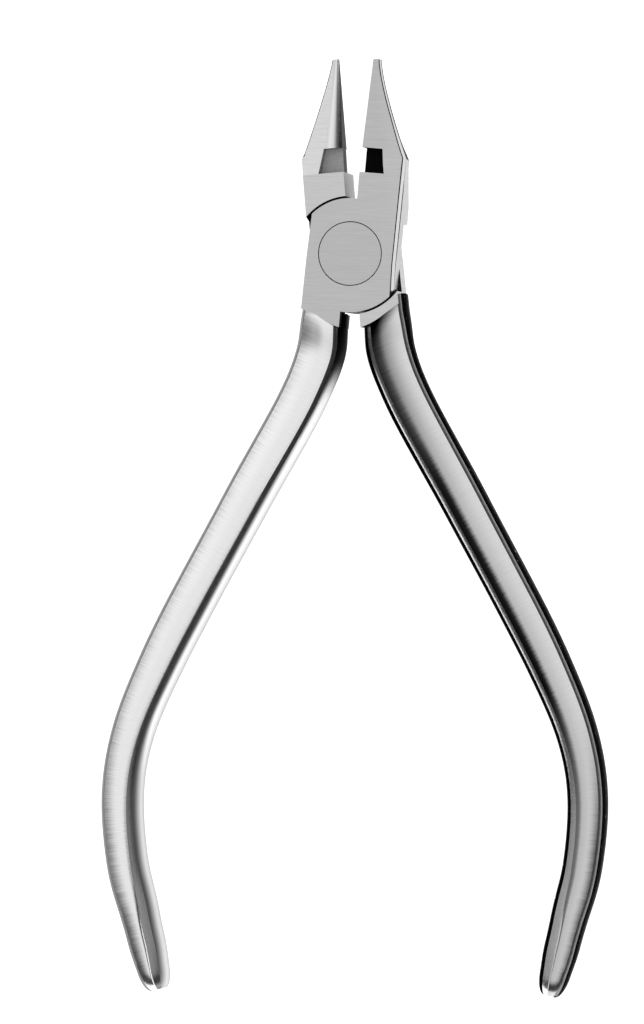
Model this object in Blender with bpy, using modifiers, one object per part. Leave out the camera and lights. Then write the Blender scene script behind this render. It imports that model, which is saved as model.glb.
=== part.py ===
"""Lap-joint pliers with one round beak and one flat beak: two levers and the screw they turn on.

Units are metres and +Z is up. The tool lies flat on its rear faces at z = 0, with its jaws towards +Y
and the origin on the pivot axis. Each lever is drawn in a frame of its own, as it sits when the jaws
are shut: the closing face is near x = 0, the jaw is at +X, the handle at -X, the lap plate is the +Z
half of the joint, and z = 0 is halfway through the thickness. The rear lever is the same lever turned
half a turn about Y, with a round beak in place of the flat one.
"""
import math

import bmesh
import bpy
from mathutils import Matrix, Vector

MM = 0.001

# Joint
THICKNESS = 8.0 * MM
HALF = THICKNESS / 2
LAP_GAP = 0.3 * MM
REST_HALF_OPENING = math.radians(4.85)
BOSS_RADIUS_JAW = 7.05 * MM
BOSS_RADIUS_HANDLE = 7.45 * MM
SHOULDER_GAP = 0.3 * MM
HUB_RADIUS = 9.1 * MM
HUB_CENTRE = (1.5 * MM, -0.58 * MM)
FRONT_HUB_CORNER = (-5.66 * MM, -7.5 * MM)
REAR_HUB_CORNER = (-5.7 * MM, -6.85 * MM)
HUB_START_DEG = 236.0
NECK_INNER_X = -0.6 * MM
OUTER_X = 6.1 * MM
JOINT_CHAMFER = 0.45 * MM

# Pivot screw: a journal that turns in the front lever, a shank held in the rear lever
JOURNAL_RADIUS = 3.9 * MM
SHANK_RADIUS = 2.75 * MM
BORE_GAP = 0.3 * MM
SCREW_SEGMENTS = 64

# Jaws
TIP_Y = 25.05 * MM
FACE_TAPER_Y = 11.6 * MM
BEAK_CHAMFER = 0.25 * MM
FLAT_CLOSING_X = 0.3 * MM
FLAT_JOINT_DRAFT = math.radians(2.2)
FLAT_CORNER_DRAFT = math.radians(5.3)
FLAT_BEAK_DRAFT = math.radians(6.6)
FLAT_CORNER_Y = 12.6 * MM
FLAT_TIP_X = 1.3 * MM
FLAT_EDGE_WIDTH = 4.75 * MM
FLAT_EDGE_HOLLOW = 1.27
FLAT_TIP_HALF_THICKNESS = 0.9 * MM
ROUND_CLOSING_X = 0.0
ROUND_OUTER_X = 5.9 * MM
ROUND_SIDE_DRAFT = math.radians(4.6)
ROUND_TIP_X = 0.85 * MM
ROUND_EDGE_Y = 12.9 * MM
ROUND_EDGE_WIDTH = 4.2 * MM
ROUND_EDGE_HOLLOW = 1.15
ROUND_SHOULDER = [(5.88, 10.6), (5.72, 12.0), (4.89, 13.3)]
CONE_TIP_RADIUS = 0.36 * MM
CONE_TAPER = 0.098
CONE_CREST = 0.03 * MM
CONE_LEAN = 0.0225
CONE_SEGMENTS = 48

# Relief pockets beside the closing face, milled from the front and from the rear. A pocket is
# two points (x, floor height in millimetres) of its outer wall, at its low end and at its high end
POCKET_LOW_Y = 10.43 * MM
POCKET_HIGH_Y = 13.6 * MM
POCKET_FLOOR = 1.3 * MM
FLAT_POCKET = [(3.43, 1.3), (2.91, 1.3)]
ROUND_POCKET = [(3.23, 1.5), (2.40, 1.5)]
FLAT_NOTCH_X = 0.55 * MM

# Handles: points (x, y) on the centreline, from inside the joint to the end
HANDLE_LINE = [(-3.2, -6.5), (-3.2, -9.5), (-3.45, -13.0), (-5.0, -18.3), (-11.5, -33.0), (-20.4, -53.9),
               (-23.4, -63.6), (-24.0, -71.0), (-22.6, -80.0), (-20.4, -86.4), (-17.2, -95.8)]
FRONT_HANDLE_SHIFT = 0.25 * MM
REAR_HANDLE_SHIFT = -0.2 * MM
HANDLE_END_ROUND = 2.4 * MM
HANDLE_STEPS = 52
HUB_EXIT = 2.0 * MM
FILLET_LENGTH = 5.0 * MM
HUB_REACH = 11.0 * MM
# Section sizes (distance along the handle as a share of its length, millimetres)
HALF_WIDTH = [(0.0, 2.76), (0.055, 3.0), (0.12, 3.0), (0.45, 2.85), (0.72, 2.5), (0.85, 2.45),
              (0.93, 2.2), (1.0, 1.75)]
HALF_DEPTH = [(0.0, 3.3), (0.12, 3.35), (0.3, 3.8), (0.45, 4.0), (0.88, 4.0), (1.0, 3.6)]
INNER_BEVEL = [(0.0, 0.5), (0.6, 0.55), (0.8, 0.75), (0.93, 1.05), (1.0, 0.8)]
OUTER_BEVEL = 0.45 * MM
FACE_CROWN = 0.32 * MM
INNER_CROWN = 0.8 * MM
OUTER_CROWN = 0.2 * MM

STEEL_JOINT = (0.52, 0.52, 0.53, 1.0)
STEEL_HANDLE = (0.60, 0.60, 0.61, 1.0)
STEEL_SCREW = (0.47, 0.47, 0.48, 1.0)


def clear_scene():
    """Remove the objects that a new file opens with."""
    for item in list(bpy.data.objects):
        bpy.data.objects.remove(item, do_unlink=True)


def new_collection(name):
    collection = bpy.data.collections.new(name)
    bpy.context.scene.collection.children.link(collection)
    return collection


def steel(name, colour, roughness):
    """A ground stainless steel with a Principled shader."""
    material = bpy.data.materials.new(name)
    material.use_nodes = True
    shader = material.node_tree.nodes["Principled BSDF"]
    shader.inputs["Base Color"].default_value = colour
    shader.inputs["Metallic"].default_value = 1.0
    shader.inputs["Roughness"].default_value = roughness
    return material


def mesh_object(name, mesh, collection):
    item = bpy.data.objects.new(name, mesh)
    collection.objects.link(item)
    return item


def arc(radius, start_deg, end_deg, steps, centre=(0.0, 0.0)):
    """Points on a circle, both ends included."""
    points = []
    for i in range(steps + 1):
        angle = math.radians(start_deg + (end_deg - start_deg) * i / steps)
        points.append((centre[0] + radius * math.cos(angle), centre[1] + radius * math.sin(angle)))
    return points


def slab(name, outline, low, high, collection):
    """A flat outline extruded from z = low to z = high, as a closed mesh."""
    curve = bpy.data.curves.new(name, "CURVE")
    curve.dimensions = "2D"
    curve.fill_mode = "BOTH"
    curve.extrude = (high - low) / 2
    spline = curve.splines.new("POLY")
    spline.points.add(len(outline) - 1)
    for point, (x, y) in zip(spline.points, outline):
        point.co = (x, y, 0.0, 1.0)
    spline.use_cyclic_u = True
    guide = bpy.data.objects.new(name + "_curve", curve)
    guide.location.z = (low + high) / 2
    collection.objects.link(guide)
    bpy.context.view_layer.update()
    graph = bpy.context.evaluated_depsgraph_get()
    mesh = bpy.data.meshes.new_from_object(guide.evaluated_get(graph))
    mesh.transform(guide.matrix_world)
    bpy.data.objects.remove(guide, do_unlink=True)
    weld(mesh)
    return mesh_object(name, mesh, collection)


def weld(mesh):
    shape = bmesh.new()
    shape.from_mesh(mesh)
    bmesh.ops.remove_doubles(shape, verts=shape.verts, dist=0.001 * MM)
    bmesh.ops.recalc_face_normals(shape, faces=shape.faces)
    shape.to_mesh(mesh)
    shape.free()


def cylinder(name, radius, low, high, segments, collection):
    """An upright cylinder on the pivot axis."""
    shape = bmesh.new()
    bmesh.ops.create_cone(shape, cap_ends=True, segments=segments, radius1=radius, radius2=radius,
                          depth=high - low, matrix=Matrix.Translation((0, 0, (low + high) / 2)))
    mesh = bpy.data.meshes.new(name)
    shape.to_mesh(mesh)
    shape.free()
    return mesh_object(name, mesh, collection)


def loft(name, sections, collection):
    """A closed skin through sections that all have the same number of points."""
    shape = bmesh.new()
    rings = [[shape.verts.new(point) for point in section] for section in sections]
    count = len(rings[0])
    for ring, following in zip(rings, rings[1:]):
        for i in range(count):
            j = (i + 1) % count
            shape.faces.new((ring[i], ring[j], following[j], following[i]))
    shape.faces.new(list(reversed(rings[0])))
    shape.faces.new(rings[-1])
    bmesh.ops.recalc_face_normals(shape, faces=shape.faces)
    mesh = bpy.data.meshes.new(name)
    shape.to_mesh(mesh)
    shape.free()
    return mesh_object(name, mesh, collection)


def side_prism(name, profile, low_x, high_x, collection):
    """A profile of (y, z) points extruded sideways."""
    sections = [[(x, y, z) for y, z in profile] for x in (low_x, high_x)]
    return loft(name, sections, collection)


def combine(item, tool, operation):
    """Apply a Boolean to an object and keep the result as its mesh."""
    modifier = item.modifiers.new(operation.lower(), "BOOLEAN")
    modifier.operation = operation
    modifier.solver = "EXACT"
    modifier.object = tool
    bpy.context.view_layer.update()
    graph = bpy.context.evaluated_depsgraph_get()
    mesh = bpy.data.meshes.new_from_object(item.evaluated_get(graph))
    item.modifiers.clear()
    item.data = mesh
    bpy.data.objects.remove(tool, do_unlink=True)


def smooth_step(share):
    share = min(max(share, 0.0), 1.0)
    return share * share * (3 - 2 * share)


def between(table, share):
    """Read a smooth value from a table of (share, value) pairs."""
    for (low, first), (high, second) in zip(table, table[1:]):
        if share <= high:
            return first + (second - first) * smooth_step((share - low) / (high - low))
    return table[-1][1]


def flat_outer_x(y):
    """The flat beak's outer edge, hollowed a little between its corner and its tip."""
    share = (TIP_Y - y) / (TIP_Y - FLAT_CORNER_Y)
    return FLAT_TIP_X + FLAT_EDGE_WIDTH * share ** FLAT_EDGE_HOLLOW


def flat_outer_points(steps):
    points = [(6.05 * MM, 6.6 * MM)]
    for i in range(steps + 1):
        y = FLAT_CORNER_Y + (TIP_Y - FLAT_CORNER_Y) * i / steps
        points.append((flat_outer_x(y), y))
    return points


def round_outer_x(y):
    """The round beak's outer edge."""
    share = (TIP_Y - y) / (TIP_Y - ROUND_EDGE_Y)
    return ROUND_TIP_X + ROUND_EDGE_WIDTH * share ** ROUND_EDGE_HOLLOW


def round_outer_points(steps):
    """The block's side, a rounded shoulder, and the beak's outer edge."""
    (ax, ay), (bx, by), (cx, cy) = ROUND_SHOULDER
    points = []
    for i in range(7):
        t = i / 6
        x = ax * (1 - t) ** 2 + 2 * bx * t * (1 - t) + cx * t ** 2
        y = ay * (1 - t) ** 2 + 2 * by * t * (1 - t) + cy * t ** 2
        points.append((x * MM, y * MM))
    for i in range(1, steps + 1):
        y = cy * MM + (TIP_Y - cy * MM) * i / steps
        points.append((round_outer_x(y), y))
    return points


def lever_outline(closing_x, outer_points, hub_corner):
    """The lever's outline round the joint and up the jaw, counter-clockwise from the tip's inner corner."""
    boss_start = math.degrees(math.acos(closing_x / BOSS_RADIUS_JAW))
    hub_end = 180 + math.degrees(math.acos((HUB_CENTRE[0] - NECK_INNER_X) / HUB_RADIUS))
    boss_low = 180 + math.degrees(math.acos(-NECK_INNER_X / BOSS_RADIUS_HANDLE))
    points = [(closing_x, TIP_Y)]
    points += arc(BOSS_RADIUS_JAW, boss_start, 139.0, 14)
    points += [(-5.55 * MM, -1.0 * MM), hub_corner]
    points += arc(HUB_RADIUS, HUB_START_DEG, hub_end, 8, HUB_CENTRE)
    points += arc(BOSS_RADIUS_HANDLE, boss_low, 320.0, 14)
    points += [(5.93 * MM, -4.0 * MM), (5.88 * MM, -1.0 * MM)]
    return points + outer_points


def lap_outline():
    """Everything that the other lever's plate sweeps: a smaller circle by the jaw, a larger by the handle."""
    jaw_side = arc(BOSS_RADIUS_JAW + SHOULDER_GAP, -33.0, 139.0, 40)
    handle_side = arc(BOSS_RADIUS_HANDLE + SHOULDER_GAP, 139.0, 327.0, 40)
    return jaw_side + handle_side


def cut_lap(lever, bore_radius, cutters):
    """Take away the rear half of the joint and bore the plate for the screw."""
    combine(lever, slab("lap_cutter", lap_outline(), -2 * HALF, LAP_GAP / 2, cutters), "DIFFERENCE")
    bore = cylinder("bore_cutter", bore_radius, -2 * HALF, 2 * HALF, SCREW_SEGMENTS, cutters)
    combine(lever, bore, "DIFFERENCE")


def shave_faces(lever, heights, cutters):
    """Cut the jaw's front and rear faces down to half-thicknesses given as (y, z) points."""
    beyond = TIP_Y + 3 * MM
    for side in (1, -1):
        profile = [(y, side * z) for y, z in heights]
        profile += [(beyond, side * heights[-1][1]), (beyond, side * 2 * HALF),
                    (heights[0][0], side * 2 * HALF)]
        combine(lever, side_prism("face_cutter", profile, -9 * MM, 9 * MM, cutters), "DIFFERENCE")


def draft_side(lever, path, cutters):
    """Lean an outer side inwards towards the other lever's half, along (x, y, z, angle) points."""
    high = 1.5 * HALF
    sections = []
    for x, y, z, angle in path:
        lean = math.tan(angle)
        sections.append([(x + (high - z) * lean, y, high), (x - (high + z) * lean, y, -high),
                         (9 * MM, y, -high), (9 * MM, y, high)])
    combine(lever, loft("draft_cutter", sections, cutters), "DIFFERENCE")


def chamfer_outer(lever, path, cutters):
    """Chamfer an outer edge of the plate's own face, along (x, y, z, width) points."""
    spare = 0.4 * MM
    sections = []
    for x, y, z, width in path:
        sections.append([(x - width - spare, y, z + spare), (x + spare, y, z - width - spare),
                         (x + spare, y, z + spare)])
    combine(lever, loft("chamfer_cutter", sections, cutters), "DIFFERENCE")


def mill_pockets(lever, outer_wall, cutters):
    """Mill a relief pocket from both faces; its outer wall slants, and its floor may rise outwards."""
    inner = -2 * MM
    floor_start = 0.5 * MM
    for side in (1, -1):
        sections = []
        for y, (x, floor) in zip((POCKET_LOW_Y, POCKET_HIGH_Y), outer_wall):
            sections.append([(inner, y, side * POCKET_FLOOR), (floor_start, y, side * POCKET_FLOOR),
                             (x * MM, y, side * floor * MM), (x * MM, y, side * 2 * HALF),
                             (inner, y, side * 2 * HALF)])
        combine(lever, loft("pocket_cutter", sections, cutters), "DIFFERENCE")


def spline_point(a, b, c, d, t):
    """A centripetal Catmull-Rom curve between b and c."""
    times = [0.0]
    for first, second in ((a, b), (b, c), (c, d)):
        times.append(times[-1] + math.sqrt((second - first).length))
    now = times[1] + (times[2] - times[1]) * t

    def mix(p, q, start, end):
        return p * ((end - now) / (end - start)) + q * ((now - start) / (end - start))

    ab = mix(a, b, times[0], times[1])
    bc = mix(b, c, times[1], times[2])
    cd = mix(c, d, times[2], times[3])
    return mix(mix(ab, bc, times[0], times[2]), mix(bc, cd, times[1], times[3]), times[1], times[2])


def handle_path(shift):
    """Points along the handle's smooth centreline, and the distance to each."""
    knots = [Vector((x * MM + shift, y * MM)) for x, y in HANDLE_LINE]
    ends = [knots[0] * 2 - knots[1]] + knots + [knots[-1] * 2 - knots[-2]]
    points = []
    for a, b, c, d in zip(ends, ends[1:], ends[2:], ends[3:]):
        for i in range(40):
            points.append(spline_point(a, b, c, d, i / 40))
    points.append(knots[-1])
    lengths = [0.0]
    for first, second in zip(points, points[1:]):
        lengths.append(lengths[-1] + (second - first).length)
    return points, lengths


def path_at(points, lengths, distance):
    """The point and heading at a distance along the centreline."""
    i = 0
    while i < len(points) - 2 and lengths[i + 1] < distance:
        i += 1
    heading = (points[i + 1] - points[i]).normalized()
    return points[i] + heading * (distance - lengths[i]), heading


def section_points(half_width, half_depth, outer_bevel, inner_bevel):
    """A handle section as (sideways, up) points: crowned faces, bevelled edges, bowed sides."""
    ring = []
    for side, bevel in ((1, inner_bevel), (-1, outer_bevel)):
        crown = INNER_CROWN if side > 0 else OUTER_CROWN
        face_half = half_width - crown - bevel
        side_half = half_depth - FACE_CROWN - OUTER_BEVEL
        quarter = []
        for i in range(5):
            share = i / 4
            quarter.append((side * face_half * share, half_depth - FACE_CROWN * share * share))
        for i in range(4):
            share = 1 - i / 3
            quarter.append((side * (half_width - crown * share * share), side_half * share))
        half = quarter + [(x, -z) for x, z in reversed(quarter[:-1])]
        ring += half if side > 0 else list(reversed(half[1:-1]))
    return ring


def hub_edge_y(x):
    """The height of the hub's lower edge: straight from its corner, then round."""
    start_x, start_y = arc(HUB_RADIUS, HUB_START_DEG, HUB_START_DEG, 1, HUB_CENTRE)[0]
    if x < start_x:
        return start_y + (x - start_x) * (FRONT_HUB_CORNER[1] - start_y) / (FRONT_HUB_CORNER[0] - start_x)
    return HUB_CENTRE[1] - math.sqrt(max(HUB_RADIUS ** 2 - (x - HUB_CENTRE[0]) ** 2, 0.0))


def hub_lag(place, distance):
    """How far a point near the joint is moved so that the handle's first sections follow the hub's edge."""
    lag = hub_edge_y(place.x) - hub_edge_y(HANDLE_LINE[1][0] * MM)
    return lag * (1 - smooth_step(distance / HUB_REACH))


def handle_section(points, lengths, distance):
    total = lengths[-1]
    point, heading = path_at(points, lengths, distance)
    share = distance / total
    half_width = between(HALF_WIDTH, share) * MM
    half_depth = between(HALF_DEPTH, share) * MM
    past_hub = (distance - HUB_EXIT) / FILLET_LENGTH
    if past_hub < 1:
        rise = 1 - smooth_step(past_hub)
        half_depth += (HALF - 0.03 * MM - half_depth) * rise
    into_end = max(0.0, distance - (total - HANDLE_END_ROUND)) / HANDLE_END_ROUND
    pinch = math.sqrt(max(0.0, 1 - (into_end * 0.97) ** 2))
    across = Vector((-heading.y, heading.x))
    ring = []
    inner_bevel = between(INNER_BEVEL, share) * MM
    for sideways, up in section_points(half_width, half_depth, OUTER_BEVEL, inner_bevel):
        place = point + across * sideways * (0.45 + 0.55 * pinch)
        ring.append((place.x, place.y + hub_lag(place, distance), up * (0.3 + 0.7 * pinch)))
    return ring


def handle(shift, cutters):
    """The handle's loft along its centreline, closed by a rounded end."""
    points, lengths = handle_path(shift)
    total = lengths[-1]
    distances = [0.0, HUB_EXIT]
    distances += [HUB_EXIT + FILLET_LENGTH * share for share in (0.08, 0.2, 0.4, 0.65, 1.0)]
    start = distances[-1]
    for i in range(1, HANDLE_STEPS + 1):
        distances.append(start + (total - start) * (1 - (1 - i / HANDLE_STEPS) ** 1.2))
    return loft("handle", [handle_section(points, lengths, d) for d in distances], cutters)


def cone_radius(y):
    return CONE_TIP_RADIUS + (TIP_Y - y) * CONE_TAPER


def round_face_height(y):
    """Half-thickness of the round beak, tapering straight from the block to the tip."""
    tip = CONE_TIP_RADIUS - CONE_CREST
    return tip + (HALF - tip) * (TIP_Y - y) / (TIP_Y - POCKET_LOW_Y)


def closing_lean(y):
    """How far the rounded closing side stands back, more towards the joint."""
    return ROUND_CLOSING_X + (TIP_Y - y) * CONE_LEAN


def crest_x(y):
    """Where the rounded closing side meets the beak's face."""
    return closing_lean(y) + cone_radius(y)


def cone(cutters):
    """The round beak's closing side: a cone at the tip that deepens into rounded edges and a flat flank."""
    sections = []
    for y in (POCKET_LOW_Y - 1.0 * MM, POCKET_LOW_Y + 0.2 * MM, TIP_Y):
        radius = cone_radius(y)
        reach = min(round_face_height(y) + CONE_CREST, HALF - 0.02 * MM) - radius
        ring = []
        for i in range(CONE_SEGMENTS):
            angle = 2 * math.pi * (i + 0.5) / CONE_SEGMENTS
            across = closing_lean(y) + radius + radius * math.cos(angle)
            ring.append((across, y, radius * math.sin(angle) + math.copysign(reach, math.sin(angle))))
        sections.append(ring)
    return loft("cone", sections, cutters)


def flat_jaw_lever(cutters):
    """The front lever's solid: flat beak, plate, and handle."""
    outline = lever_outline(FLAT_CLOSING_X, flat_outer_points(10), FRONT_HUB_CORNER)
    lever = slab("flat_lever", outline, -HALF, HALF, cutters)
    taper = (HALF - FLAT_TIP_HALF_THICKNESS) / (TIP_Y - FACE_TAPER_Y)
    draft = [(OUTER_X, -6.5 * MM, HALF, FLAT_JOINT_DRAFT), (OUTER_X, 6.6 * MM, HALF, FLAT_JOINT_DRAFT)]
    shave_faces(lever, [(FACE_TAPER_Y, HALF), (TIP_Y, FLAT_TIP_HALF_THICKNESS)], cutters)
    path = [(6.03 * MM, -7.0 * MM, HALF, JOINT_CHAMFER), (5.98 * MM, -4.0 * MM, HALF, JOINT_CHAMFER),
            (5.88 * MM, -1.0 * MM, HALF, JOINT_CHAMFER), (5.98 * MM, 6.6 * MM, HALF, JOINT_CHAMFER)]
    for i in range(11):
        y = FLAT_CORNER_Y + (TIP_Y + 1.0 * MM - FLAT_CORNER_Y) * i / 10
        height = HALF - (y - FACE_TAPER_Y) * taper
        width = JOINT_CHAMFER + (BEAK_CHAMFER - JOINT_CHAMFER) * smooth_step(i / 3)
        path.append((flat_outer_x(min(y, TIP_Y)), y, height, width))
        angle = FLAT_CORNER_DRAFT + (FLAT_BEAK_DRAFT - FLAT_CORNER_DRAFT) * smooth_step(i / 2)
        draft.append((flat_outer_x(min(y, TIP_Y)) + 0.02 * MM, y, height, angle))
    draft_side(lever, draft, cutters)
    chamfer_outer(lever, path, cutters)
    combine(lever, handle(FRONT_HANDLE_SHIFT, cutters), "UNION")
    notch_outline = [(-2 * MM, POCKET_LOW_Y), (FLAT_NOTCH_X, POCKET_LOW_Y), (FLAT_NOTCH_X, POCKET_HIGH_Y),
                     (-2 * MM, POCKET_HIGH_Y)]
    combine(lever, slab("notch_cutter", notch_outline, -2 * HALF, 2 * HALF, cutters), "DIFFERENCE")
    mill_pockets(lever, FLAT_POCKET, cutters)
    cut_lap(lever, JOURNAL_RADIUS + BORE_GAP, cutters)
    return lever


def round_jaw_lever(cutters):
    """The rear lever's solid: round beak, plate, and handle."""
    outline = lever_outline(ROUND_CLOSING_X, round_outer_points(10), REAR_HUB_CORNER)
    lever = slab("round_lever", outline, -HALF, HALF, cutters)
    draft = [(ROUND_OUTER_X, y * MM, HALF, ROUND_SIDE_DRAFT) for y in (-6.5, 14.0)]
    draft_side(lever, draft, cutters)
    shave_faces(lever, [(POCKET_LOW_Y, HALF), (TIP_Y, round_face_height(TIP_Y))], cutters)
    path = [(ROUND_OUTER_X, y * MM, HALF, JOINT_CHAMFER) for y in (-7.0, 10.4)]
    chamfer_outer(lever, path, cutters)
    combine(lever, handle(REAR_HANDLE_SHIFT, cutters), "UNION")
    crest_side = [(-2.0 * MM, POCKET_LOW_Y), (crest_x(POCKET_LOW_Y), POCKET_LOW_Y),
                  (crest_x(TIP_Y), TIP_Y + 1.0 * MM), (-2.0 * MM, TIP_Y + 1.0 * MM)]
    combine(lever, slab("crest_cutter", crest_side, -2 * HALF, 2 * HALF, cutters), "DIFFERENCE")
    combine(lever, cone(cutters), "UNION")
    mill_pockets(lever, ROUND_POCKET, cutters)
    cut_lap(lever, SHANK_RADIUS + BORE_GAP, cutters)
    return lever


def finish(item, name, material, matrix, parts, cutters):
    """Name a finished solid, place it, shade it and file it with the parts."""
    item.name = name
    item.data.name = name
    item.data.materials.clear()
    item.data.materials.append(material)
    item.matrix_world = matrix
    item.data.shade_smooth()
    item.data.set_sharp_from_angle(angle=math.radians(25))
    cutters.objects.unlink(item)
    parts.objects.link(item)


def pivot_screw(collection):
    """A turned screw: the journal is flush with the front, the shank with the rear."""
    profile = [(0.0, HALF), (JOURNAL_RADIUS, HALF), (JOURNAL_RADIUS, LAP_GAP / 2),
               (SHANK_RADIUS, LAP_GAP / 2), (SHANK_RADIUS, -HALF), (0.0, -HALF)]
    mesh = bpy.data.meshes.new("pivot_screw")
    edges = [(i, i + 1) for i in range(len(profile) - 1)]
    mesh.from_pydata([(r, 0.0, z) for r, z in profile], edges, [])
    item = mesh_object("pivot_screw", mesh, collection)
    turn = item.modifiers.new("turn", "SCREW")
    turn.steps = SCREW_SEGMENTS
    turn.render_steps = SCREW_SEGMENTS
    turn.use_merge_vertices = True
    turn.merge_threshold = 0.00001
    return item


def build():
    clear_scene()
    parts = new_collection("crimping_pliers")
    cutters = new_collection("cutters")
    lift = Matrix.Translation((0, 0, HALF))
    front_place = lift @ Matrix.Rotation(-REST_HALF_OPENING, 4, "Z")
    rear_place = lift @ Matrix.Rotation(REST_HALF_OPENING, 4, "Z") @ Matrix.Rotation(math.pi, 4, "Y")
    front = flat_jaw_lever(cutters)
    finish(front, "front_lever", steel("ground_steel", STEEL_JOINT, 0.34), front_place, parts, cutters)
    rear = round_jaw_lever(cutters)
    finish(rear, "rear_lever", steel("brushed_steel", STEEL_HANDLE, 0.30), rear_place, parts, cutters)
    screw = pivot_screw(parts)
    screw.data.materials.append(steel("turned_steel", STEEL_SCREW, 0.36))
    screw.location.z = HALF


build()
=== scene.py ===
"""Looks of the crimping pliers: two ground steel levers, the flush pivot screw, floor, light and camera.

Each lever is drawn in a frame of its own, turned so that its closing plane lies along Y: the closing
face is near x = 0, the jaw is at +X, the handle at -X, the lap plate is the +Z half of the joint, and
z = 0 is halfway through the thickness. The tips are 0.3 mm apart with both levers in that position.
Lengths in the functions below are in millimetres until a mesh is made.
"""

import math

import bmesh
import bpy
from mathutils import Matrix, Vector


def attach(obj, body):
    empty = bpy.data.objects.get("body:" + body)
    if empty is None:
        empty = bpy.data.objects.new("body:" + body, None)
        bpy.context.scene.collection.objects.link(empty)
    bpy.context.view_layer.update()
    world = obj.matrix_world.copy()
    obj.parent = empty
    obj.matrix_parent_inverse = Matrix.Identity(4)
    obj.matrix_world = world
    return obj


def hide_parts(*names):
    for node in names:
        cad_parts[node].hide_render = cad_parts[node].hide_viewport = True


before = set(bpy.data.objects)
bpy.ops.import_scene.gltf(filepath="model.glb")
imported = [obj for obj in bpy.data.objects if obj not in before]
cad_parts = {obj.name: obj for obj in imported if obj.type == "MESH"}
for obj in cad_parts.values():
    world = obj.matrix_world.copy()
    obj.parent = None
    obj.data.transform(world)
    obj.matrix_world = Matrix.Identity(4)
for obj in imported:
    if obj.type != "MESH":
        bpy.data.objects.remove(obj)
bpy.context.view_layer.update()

MM = 0.001

# Joint
HALF = 4.0
LAP_GAP = 0.1
REST_HALF_OPENING = math.radians(4.85)
BOSS_RADIUS_JAW = 7.05
BOSS_RADIUS_HANDLE = 7.45
SHOULDER_GAP = 0.28
HUB_RADIUS = 9.1
HUB_CENTRE = (1.5, -0.58)
FRONT_HUB_CORNER = (-5.66, -7.5)
REAR_HUB_CORNER = (-5.7, -6.85)
HUB_START_DEG = 236.0
SHOULDER_DEG = 139.0
BOSS_END_DEG = 320.0
PLATE_CORNER = (-5.55, -1.0)
PLATE_SIDE = [(5.93, -4.0), (5.88, -1.0)]
PLATE_TOP = (6.05, 6.6)
LAP_ARC_STEPS = 90
NECK_INNER_X = -0.6
OUTER_X = 6.1
CHAMFER_WIDTH = 0.34
CHAMFER_DEPTH = 0.62
CHAMFER_EASE = 0.13
CHAMFER_LINE = [(6.03, -7.0), (5.98, -4.0), (5.88, -1.0), (5.98, 6.6)]
CLEAR_X = 9.0

# Pivot screw
JOURNAL_RADIUS = 4.02
SHANK_RADIUS = 2.75
SEAM = 0.08
CIRCLE = (0.0, 357.5, 143)

# Jaws
TIP_Y = 25.05
FACE_TAPER_Y = 11.6
FLAT_CLOSING_X = 0.3
FLAT_JOINT_DRAFT = math.radians(2.2)
FLAT_CORNER_DRAFT = math.radians(5.3)
FLAT_BEAK_DRAFT = math.radians(6.6)
FLAT_CORNER_Y = 12.6
FLAT_TIP_X = 1.3
FLAT_EDGE_WIDTH = 4.75
FLAT_EDGE_HOLLOW = 1.27
FLAT_TIP_HALF_THICKNESS = 0.9
ROUND_CLOSING_X = 0.0
ROUND_OUTER_X = 5.9
ROUND_SIDE_DRAFT = math.radians(4.6)
ROUND_TIP_X = 0.85
ROUND_EDGE_Y = 12.9
ROUND_EDGE_WIDTH = 4.2
ROUND_EDGE_HOLLOW = 1.15
ROUND_SHOULDER = [(5.88, 10.6), (5.72, 12.0), (4.89, 13.3)]
CONE_TIP_RADIUS = 0.36
CONE_TAPER = 0.098
CONE_CREST = 0.03
CONE_LEAN = 0.0225

# Relief pockets: the outer wall as (x, floor height) at its low end and at its high end
POCKET_LOW_Y = 10.43
POCKET_HIGH_Y = 13.6
POCKET_FLOOR = 1.3
FLAT_POCKET = [(3.43, 1.3), (2.91, 1.3)]
ROUND_POCKET = [(3.23, 1.5), (2.40, 1.5)]
FLAT_NOTCH_X = 0.55
CUT_INNER_X = -2.0
BEAK_STEPS = 24

# Handles: points on the centreline, then section sizes against the share of the handle's length
HANDLE_LINE = [(-3.2, -6.5), (-3.2, -9.5), (-3.45, -13.0), (-5.0, -18.3), (-11.5, -33.0), (-20.4, -53.9),
               (-23.4, -63.6), (-24.0, -71.0), (-22.6, -80.0), (-20.4, -86.4), (-17.2, -95.8)]
FRONT_HANDLE_SHIFT = 0.25
REAR_HANDLE_SHIFT = -0.2
HANDLE_END_ROUND = 2.4
HUB_EXIT = 2.0
FILLET_LENGTH = 5.0
HUB_REACH = 11.0
HALF_WIDTH = [(0.0, 2.76), (0.055, 3.0), (0.12, 3.0), (0.45, 2.85), (0.72, 2.5), (0.85, 2.45),
              (0.93, 2.2), (1.0, 1.75)]
HALF_DEPTH = [(0.0, 3.3), (0.12, 3.35), (0.3, 3.8), (0.45, 3.99), (0.88, 3.99), (1.0, 3.6)]
INNER_BEVEL = [(0.0, 0.5), (0.6, 0.55), (0.8, 0.75), (0.93, 1.05), (1.0, 0.8)]
OUTER_BEVEL = 0.45
FACE_CROWN = 0.32
INNER_CROWN = 0.8
OUTER_CROWN = 0.2
FACE_STEPS = 8
CORNER_STEPS = 3
SIDE_STEPS = 5

# Finish of the unground faces: how fine their specks are
FINE_SPECKS = 2500.0
MILLED_SPECKS = 7000.0

# Material slots of a lever's mesh
(JOINT, HANDLE, SIDE, POCKET, EDGE, FLANK, BEAK, CONE, INNER_BEVEL_SLOT, OUTER_BEVEL_SLOT, OUTER_SIDE,
 LAP, CLOSING) = range(13)


# ---- geometry helpers ----

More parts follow.
